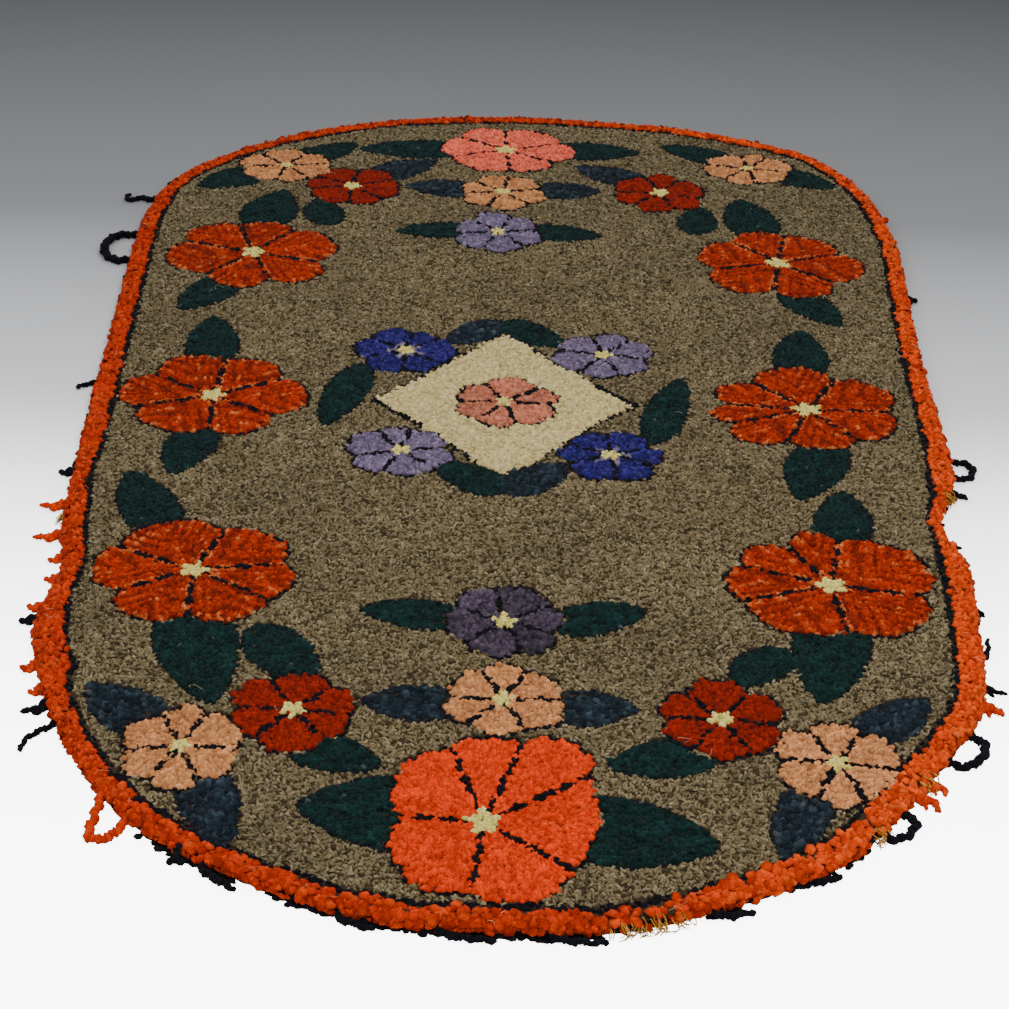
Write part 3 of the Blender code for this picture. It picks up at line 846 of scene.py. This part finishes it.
def hook_rim(pile):
    """Adds the black loops of the sewn row: close at parts of the near end, sparse elsewhere."""
    for out, height in ((0.0002, 0.0022), (0.0018, 0.0024)):
        point, normal = rim_places(0.0038)
        x, y = point.T
        bunch = ripple(x, y, 0.10, 4.0) + 0.30 * RNG.standard_normal(len(x))
        close = np.interp(x, *np.transpose(NEAR_BLACK)) * (y < -0.5)
        far = np.where(y > 0.42, 2.0, 0.0)
        kept = (bunch - far > 0.80) & (close == 0) & (y > -0.5)
        kept |= RNG.random(len(x)) < 0.9 * close
        point, normal = point[kept], normal[kept]
        spread = out + 0.0007 * RNG.standard_normal(len(point))
        place = point + normal * spread[:, None]
        tips = np.column_stack([place, height + 0.0005 * RNG.standard_normal(len(place))])
        facing = np.column_stack([normal, np.full(len(normal), 0.9)])
        facing += 0.3 * RNG.standard_normal(facing.shape)
        turn = round_rim(normal) + 0.5 * RNG.standard_normal(len(place))
        pile.place("rim_loops", tips, facing, turn, 0.0058, dyed("black", len(place)), 0.85)


def foundation():
    """The cloth under the pile: a slab a loop lower than the tips, flat below.

    Rings step in from the rim by insets and up by shares of the height, and
    the inner ones shrink onto a short line along the middle.
    """
    base = RIM[::6]
    normal = RIM_OUT[::6]
    sections = []
    profile = ((0.0078, 0.0), (0.0040, 0.30), (0.0030, 0.55), (0.0050, 0.82), (0.0090, 1.0), (0.0280, 1.0))
    for inset, share in profile:
        point = base - normal * inset
        tips = pile_height(point[:, 0], point[:, 1])
        sections.append(np.column_stack([point, np.maximum(share * (tips - LOOP_HEIGHT), FLOOR_GAP)]))
    edge = sections[-1][:, :2]
    for share in (0.93, 0.85, 0.76, 0.67, 0.58, 0.49, 0.40, 0.31, 0.22, 0.13, 0.05):
        point = np.column_stack([share * edge[:, 0], (0.58 + 0.42 * share) * edge[:, 1]])
        tips = pile_height(point[:, 0], point[:, 1])
        sections.append(np.column_stack([point, tips - LOOP_HEIGHT]))
    return skin("foundation_cloth", sections)


def skin(name, sections):
    """Quads between neighbouring closed rings of equal count, with a face across each end."""
    size = len(sections[0])
    points = np.vstack(sections)
    ring = np.arange(size)
    after = np.roll(ring, -1)
    band = np.column_stack([ring, after, after + size, ring + size])
    quads = [band + k * size for k in range(len(sections) - 1)]
    piece = mesh_from(name, points, np.vstack(quads))
    work = bmesh.new()
    work.from_mesh(piece.data)
    work.verts.ensure_lookup_table()
    work.faces.new([work.verts[i] for i in reversed(range(size))])
    last = (len(sections) - 1) * size
    work.faces.new([work.verts[last + i] for i in range(size)])
    bmesh.ops.recalc_face_normals(work, faces=work.faces)
    work.to_mesh(piece.data)
    work.free()
    return piece


def tube(points, radius, sides, ply):
    """Rings round a path: two plies wound about each other, as deep as ply says."""
    along = np.gradient(points, axis=0)
    along /= np.linalg.norm(along, axis=1, keepdims=True)
    side = np.cross(along, (0.0, 0.0, 1.0))
    side /= np.linalg.norm(side, axis=1, keepdims=True) + 1e-9
    up = np.cross(side, along)
    angle = np.linspace(0, 2 * np.pi, sides, endpoint=False)
    wound = angle[None, :] - 2 * np.pi * lengths(points)[:, None] / TWIST
    size = radius[:, None] * (1 + ply * np.cos(2 * wound))
    spoke = np.cos(angle)[None, :, None] * side[:, None] + np.sin(angle)[None, :, None] * up[:, None]
    return points[:, None] + size[..., None] * spoke


def yarn_piece(name, paths):
    """One piece of many yarns: each is a path, its radii, its wool, its sides and its ply."""
    points, faces, colours, start = [], [], [], 0
    for path, radius, wool, sides, ply in paths:
        steps = len(path)
        k, j = np.meshgrid(np.arange(steps - 1), np.arange(sides), indexing="ij")
        here, after = k * sides + j, k * sides + (j + 1) % sides
        quad = np.stack([here, here + sides, after + sides, after], axis=2)
        faces.append(start + quad.reshape(-1, 4))
        points.append(tube(path, radius, sides, ply).reshape(-1, 3))
        colours.append(np.repeat(dyed(wool, steps, 0.10), sides, axis=0))
        start += steps * sides
    points = np.vstack(points)
    points[:, 2] = np.maximum(points[:, 2], FLOOR_GAP)
    return mesh_from(name, points, np.vstack(faces), np.vstack(colours))


def smooth_path(places, step):
    """A smooth path through a few places: corners are cut four times, then evened."""
    path = np.array(places, float)
    for _ in range(4):
        first = 0.75 * path[:-1] + 0.25 * path[1:]
        second = 0.25 * path[:-1] + 0.75 * path[1:]
        inner = np.stack([first, second], axis=1).reshape(-1, path.shape[1])
        path = np.vstack([path[:1], inner, path[-1:]])
    full = lengths(path)[-1]
    return at_lengths(path, np.linspace(0, full, max(int(full / step), 6)))


def loose_route(shape, reach, spread, low):
    """A loose yarn's places along the rim, out of it and above the floor.

    A loop leaves the row and comes back, and one that leans comes back aslant.
    A curl ends in a small ring, an end lies beside the row, and a tuft juts out.
    """
    half = 0.5 * spread
    root = (-ROOT_DEPTH, ROOT_HEIGHT)
    if shape == "loop":
        turns = np.pi * np.arange(1, 10) / 10
        rise = low + 0.0012 * np.sin(turns)
        bow = np.column_stack([-half * np.cos(turns), reach * np.sin(turns) ** 0.7, rise])
        return np.vstack([(-0.8 * half, *root), bow, (0.8 * half, *root)])
    if shape == "lean":
        shares = np.array([(0.0, 0.50), (0.22, 0.82), (0.38, 0.96), (0.58, 0.78), (0.56, 0.34)])
        bow = np.column_stack([spread * shares[:, 0], reach * shares[:, 1], low + 0 * shares[:, 0]])
        return np.vstack([(-0.45 * spread, -0.003, 0.006), bow, (0.34 * spread, *root)])
    if shape == "curl":
        turns = np.pi * np.arange(-3, 8) / 8
        ring = np.column_stack([half * np.cos(turns), reach - half + half * np.sin(turns), low + 0 * turns])
        start = [(0, *root), (0.3 * half, 0.3 * reach, low), (-0.4 * half, 0.6 * reach, low)]
        return np.vstack([start, ring])
    if shape == "end":
        turns = 0.5 * np.pi * np.arange(1, 7) / 6
        bow = np.column_stack([spread * (1 - np.cos(turns)), reach * np.sin(turns), low + 0 * turns])
        return np.vstack([(-0.002, *root), bow])
    bend = 0.3 * spread
    stem = [(0, -ROOT_DEPTH, 0.005), (0, 0.2 * reach, ROOT_HEIGHT)]
    return np.array(stem + [(bend, 0.6 * reach, low), (-bend, reach, low)])


def loose_yarns():
    """Paths for all the yarn that has come loose from the rim.

    Each yarn is knotted along its length, and a tuft has two shorter strips
    beside its main one.
    """
    paths = []
    for across, along, shape, reach, spread, thick, wool in LOOSE:
        near = np.hypot(RIM[:, 0] - across, RIM[:, 1] - along).argmin()
        out = RIM_OUT[near]
        aside_rim = np.array([-out[1], out[0]])
        strips = [(0.0, 1.0, 1.0)]
        if shape == "tuft":
            strips += [(0.0030, 0.66, 0.8), (-0.0034, 0.46, 0.75)]
        for aside, share, size in strips:
            route = loose_route(shape, share * reach, spread, 0.46 * thick * size)
            beside = route[:, :1] + aside
            beyond = route[:, 1:2] - 0.5 * beside ** 2 / RIM_BEND
            flat = RIM[near] + beside * aside_rim + beyond * out
            path = smooth_path(np.column_stack([flat, route[:, 2]]), YARN_STEP)
            length = np.linspace(0, 1, len(path))
            step = YARN_STEP * np.arange(len(path))
            waver = 0.16 * thick * np.sin(2 * np.pi * step / WAVER + across * 70)
            side = np.gradient(path[:, :2], axis=0)[:, ::-1] * (-1, 1)
            side /= np.linalg.norm(side, axis=1, keepdims=True) + 1e-9
            path[:, :2] += side * waver[:, None]
            knob = 1 + 0.15 * np.sin(2 * np.pi * step / KNOT + across * 90)
            knob += 0.08 * np.sin(2 * np.pi * step / STRAND + along * 50)
            taper = 1 - (0.32 * length if shape not in ("loop", "lean") else 0)
            taper = 1.30 - 0.72 * length if shape == "tuft" else taper
            radius = 0.5 * thick * size * knob * taper
            radius[-2:] *= (0.8, 0.35)
            paths.append((path, radius, wool, 8, 0.14))
    return paths


def rim_row():
    """The sewn row itself: a low black yarn laid round the rim."""
    inner = (RIM - RIM_OUT * SEWN_INSET)[::2]
    path = np.column_stack([inner, np.full(len(inner), SEWN_HEIGHT)])
    path = np.vstack([path, path[:1]])
    radius = SEWN_RADIUS + 0.0003 * np.sin(np.arange(len(path)) * 1.9)
    return path, radius, "black", 8, 0.10


def fray():
    """Golden foundation fibres that stick out at the worn places of the rim."""
    paths = []
    for across, along, spread, amount in WORN:
        for _ in range(int(JUTE_ENDS * spread * amount)):
            place = np.array([across, along]) + RNG.normal(0, 0.55, 2) * spread * np.array([0.9, 0.35])
            near = np.hypot(*(RIM - place).T).argmin()
            out = RIM_OUT[near]
            beside = np.array([-out[1], out[0]])
            reach = RNG.uniform(0.0005, 0.0065)
            lean = RNG.uniform(-0.006, 0.006, 3)
            high = RNG.uniform(0.0030, 0.0100)
            places = [
                (*(RIM[near] - 0.005 * out), high),
                (*(RIM[near] + 0.35 * reach * out + lean[0] * 0.3 * beside), 0.9 * high),
                (*(RIM[near] + 0.75 * reach * out + lean[1] * 0.7 * beside), 0.5 * high),
                (*(RIM[near] + reach * out + lean[2] * beside), 0.0010 + 0.2 * high),
            ]
            path = smooth_path(places, 0.0022)
            paths.append((path, np.full(len(path), JUTE_RADIUS), "jute", 3, 0.0))
    return paths


def loose_fibres():
    """Pale threads and hairs caught on the pile."""
    paths = []
    for _ in range(HAIRS):
        index = RNG.integers(len(RIM))
        deep = RNG.uniform(0.0, 0.012) if RNG.random() < 0.75 else RNG.uniform(0.02, 0.25)
        x, y = RIM[index] - RIM_OUT[index] * deep
        turn = RNG.uniform(0, 2 * np.pi)
        reach = RNG.uniform(0.003, 0.011)
        places = []
        for share in (0.0, 0.35, 0.7, 1.0):
            px = x + reach * share * math.cos(turn) + 0.25 * reach * RNG.standard_normal()
            py = y + reach * share * math.sin(turn) + 0.25 * reach * RNG.standard_normal()
            tips = pile_height(px, py) - 0.0025 * max(0.0, 1 - deep / 0.005)
            places.append((px, py, tips + 0.0008 + 0.0012 * math.sin(math.pi * share)))
        path = smooth_path(places, 0.0025)
        paths.append((path, np.full(len(path), HAIR_RADIUS), "thread", 3, 0.0))
    return paths


def add_node(tree, kind, **settings):
    """Adds a shader node and sets its properties, or its inputs by name."""
    node = tree.nodes.new(kind)
    for key, value in settings.items():
        name = key.replace("_", " ").title()
        if name in node.inputs:
            node.inputs[name].default_value = value
        else:
            setattr(node, key, value)
    return node


def new_material(name, **settings):
    """A material with its node tree, its link function and its surface, set by input name."""
    material = bpy.data.materials.new(name)
    material.use_nodes = True
    tree = material.node_tree
    surface = tree.nodes["Principled BSDF"]
    for key, value in settings.items():
        surface.inputs[key.replace("_", " ").title().replace("Ior", "IOR")].default_value = value
    return material, tree, tree.links.new, surface


def wool_material(name, fuzz):
    """Dull wool: the dye from the mesh, mottled by fibres about 1 mm long and by soil, with a faint sheen."""
    material, tree, link, surface = new_material(
        name, roughness=0.95, specular_ior_level=0.06, sheen_weight=fuzz, sheen_roughness=0.45)
    place = add_node(tree, "ShaderNodeTexCoord")
    dye = add_node(tree, "ShaderNodeAttribute", attribute_name="wool")
    grain = add_node(tree, "ShaderNodeTexNoise", scale=FIBRE_SCALE, detail=4.0)
    soil = add_node(tree, "ShaderNodeTexNoise", scale=SOIL_SCALE, detail=4.0)
    shade = add_node(tree, "ShaderNodeMapRange", from_min=0.30, from_max=0.70, to_min=0.68, to_max=1.30)
    worn = add_node(tree, "ShaderNodeMapRange", to_min=0.86, to_max=1.12)
    both = add_node(tree, "ShaderNodeMath", operation="MULTIPLY")
    colour = add_node(tree, "ShaderNodeVectorMath", operation="SCALE")
    ridge = add_node(tree, "ShaderNodeBump", strength=0.8, distance=0.0012)
    link(place.outputs["Object"], grain.inputs["Vector"])
    link(place.outputs["Object"], soil.inputs["Vector"])
    link(grain.outputs["Fac"], shade.inputs["Value"])
    link(soil.outputs["Fac"], worn.inputs["Value"])
    link(shade.outputs["Result"], both.inputs[0])
    link(worn.outputs["Result"], both.inputs[1])
    link(dye.outputs["Color"], colour.inputs[0])
    link(both.outputs["Value"], colour.inputs["Scale"])
    link(colour.outputs["Vector"], surface.inputs["Base Color"])
    link(grain.outputs["Fac"], ridge.inputs["Height"])
    link(ridge.outputs["Normal"], surface.inputs["Normal"])
    return material


def cloth_material():
    """Foundation cloth: burlap in a plain weave of 1.6 mm threads, painted dark brown as the shade deep
    between the loops.
    """
    material, tree, link, surface = new_material("burlap in painted shade", roughness=0.95, specular_ior_level=0.1)
    place = add_node(tree, "ShaderNodeTexCoord")
    weave = add_node(tree, "ShaderNodeTexWave", scale=WEAVE_SCALE, distortion=0.4, bands_direction="X")
    across = add_node(tree, "ShaderNodeTexWave", scale=WEAVE_SCALE, distortion=0.4, bands_direction="Y")
    over = add_node(tree, "ShaderNodeMath", operation="MAXIMUM")
    ramp = add_node(tree, "ShaderNodeValToRGB")
    # Painted shade: these dark browns stand for the shade in the gaps between loops, where the cloth shows.
    ramp.color_ramp.elements[0].color = (*linear("15100B"), 1)
    ramp.color_ramp.elements[1].color = (*linear("3A2C1E"), 1)
    ridge = add_node(tree, "ShaderNodeBump", strength=0.6, distance=0.0006)
    link(place.outputs["Object"], weave.inputs["Vector"])
    link(place.outputs["Object"], across.inputs["Vector"])
    link(weave.outputs["Fac"], over.inputs[0])
    link(across.outputs["Fac"], over.inputs[1])
    link(over.outputs["Value"], ramp.inputs["Fac"])
    link(ramp.outputs["Color"], surface.inputs["Base Color"])
    link(over.outputs["Value"], ridge.inputs["Height"])
    link(ridge.outputs["Normal"], surface.inputs["Normal"])
    return material


def floor_material():
    """A pale studio floor, painted darker grey away from the camera as painted shade.

    Near the camera it also glows for the camera alone, which makes it white
    there and casts no light on the rug.
    """
    material, tree, link, surface = new_material(
        "pale studio floor", roughness=0.9, specular_ior_level=0.05, emission_color=(1.0, 1.0, 1.0, 1.0))
    place = add_node(tree, "ShaderNodeTexCoord")
    part = add_node(tree, "ShaderNodeSeparateXYZ")
    # Painted shade: the floor's colour runs from near white to grey away from the camera.
    far = add_node(tree, "ShaderNodeMapRange", from_min=-0.75, from_max=1.25)
    ramp = add_node(tree, "ShaderNodeValToRGB")
    for stop, code in zip(ramp.color_ramp.elements, ("FAFAFB", "48484A")):
        stop.color = (*linear(code), 1)
    for share, code in ((0.28, "EEEEEF"), (0.58, "808081")):
        ramp.color_ramp.elements.new(share).color = (*linear(code), 1)
    near = add_node(tree, "ShaderNodeMapRange", interpolation_type="SMOOTHSTEP",
                    from_min=0.05, from_max=-0.62, to_max=7.0)
    seen = add_node(tree, "ShaderNodeLightPath")
    glow = add_node(tree, "ShaderNodeMath", operation="MULTIPLY")
    link(place.outputs["Object"], part.inputs["Vector"])
    link(part.outputs["Y"], far.inputs["Value"])
    link(part.outputs["Y"], near.inputs["Value"])
    link(far.outputs["Result"], ramp.inputs["Fac"])
    link(ramp.outputs["Color"], surface.inputs["Base Color"])
    link(near.outputs["Result"], glow.inputs[0])
    link(seen.outputs["Is Camera Ray"], glow.inputs[1])
    link(glow.outputs["Value"], surface.inputs["Emission Strength"])
    return material


def set_camera():
    """The photograph's view: a long lens, 31 degrees down, with a slight turn and roll."""
    pitch, yaw, roll = (math.radians(turn) for turn in VIEW_TURN)
    back = Vector((math.sin(yaw) * math.cos(pitch), -math.cos(yaw) * math.cos(pitch), math.sin(pitch)))
    right = (-back).cross(Vector((0, 0, 1))).normalized()
    up = right.cross(-back)
    turned = right * math.cos(roll) + up * math.sin(roll)
    upright = up * math.cos(roll) - right * math.sin(roll)
    data = bpy.data.cameras.new("camera")
    data.lens = LENS
    data.sensor_width = SENSOR
    camera = bpy.data.objects.new("camera", data)
    axes = Matrix((turned, upright, back)).transposed().to_4x4()
    camera.matrix_world = Matrix.Translation(Vector(AIM) + DISTANCE * back) @ axes
    bpy.context.scene.collection.objects.link(camera)
    bpy.context.scene.camera = camera


def area_light(name, place, aim, size, watts):
    """A soft square light that faces its aim."""
    data = bpy.data.lights.new(name, "AREA")
    data.size = size
    data.energy = watts
    light = bpy.data.objects.new(name, data)
    light.location = place
    light.rotation_euler = (Vector(aim) - Vector(place)).to_track_quat("-Z", "Y").to_euler()
    bpy.context.scene.collection.objects.link(light)


def set_light():
    """A broad softbox over the near end, a fill, a weak far light and a dim even room."""
    area_light("key light", (0.5, -0.9, 1.7), (0.0, -0.2, 0.0), 1.0, 34.0)
    area_light("fill light", (-1.4, -0.6, 1.3), (0.0, 0.0, 0.0), 1.2, 14.0)
    area_light("far light", (0.2, 1.6, 1.4), (0.0, 0.2, 0.0), 1.2, 10.0)
    world = bpy.data.worlds.new("room")
    world.use_nodes = True
    room = world.node_tree.nodes["Background"]
    room.inputs["Color"].default_value = (0.9, 0.95, 1.0, 1.0)
    room.inputs["Strength"].default_value = 0.55
    bpy.context.scene.world = world


def set_floor():
    """A large plain floor just under the rug."""
    corners = np.array([(-6, -4, 0), (6, -4, 0), (6, 8, 0), (-6, 8, 0)], float)
    floor = mesh_from("floor", corners, np.array([(0, 1, 2, 3)]))
    floor.data.materials.append(floor_material())


def dress(piece, material):
    """Gives a piece its material and its slot, and makes it ride on the rug."""
    piece.data.materials.clear()
    piece.data.materials.append(material)
    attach(piece, "root")
    return piece


def main():
    """Hooks the whole rug, then sets the floor, the light and the camera."""
    set_camera()
    pile = Pile()
    for flower in FLOWERS:
        hook_flower(pile, flower)
    for leaf in LEAVES:
        hook_leaf(pile, leaf)
    hook_diamond(pile)
    hook_ground(pile)
    hook_border(pile)
    hook_rim(pile)
    loop_wool = wool_material("wool loops", 0.03)
    tweed = wool_material("tweed wool loops", 0.02)
    yarn = wool_material("wool yarn", 0.02)
    fibre = wool_material("jute and wool fibres", 0.02)
    for name in sorted(pile.parts):
        ground = name.startswith("ground")
        shape, faces = (GRAIN, GRAIN_FACES) if ground else (PEBBLE, PEBBLE_FACES)
        piece = loop_piece(name, pile.loops(name), shape, faces)
        dress(piece, tweed if ground else loop_wool)
    base = dress(foundation(), cloth_material())
    row = dress(yarn_piece("rim_row", [rim_row()] + loose_yarns()), yarn)
    jute = dress(yarn_piece("jute_fray", fray()), fibre)
    hairs = dress(yarn_piece("loose_fibres", loose_fibres()), fibre)
    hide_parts("hooked_mat")
    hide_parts("rim_yarn")
    set_floor()
    set_light()


main()
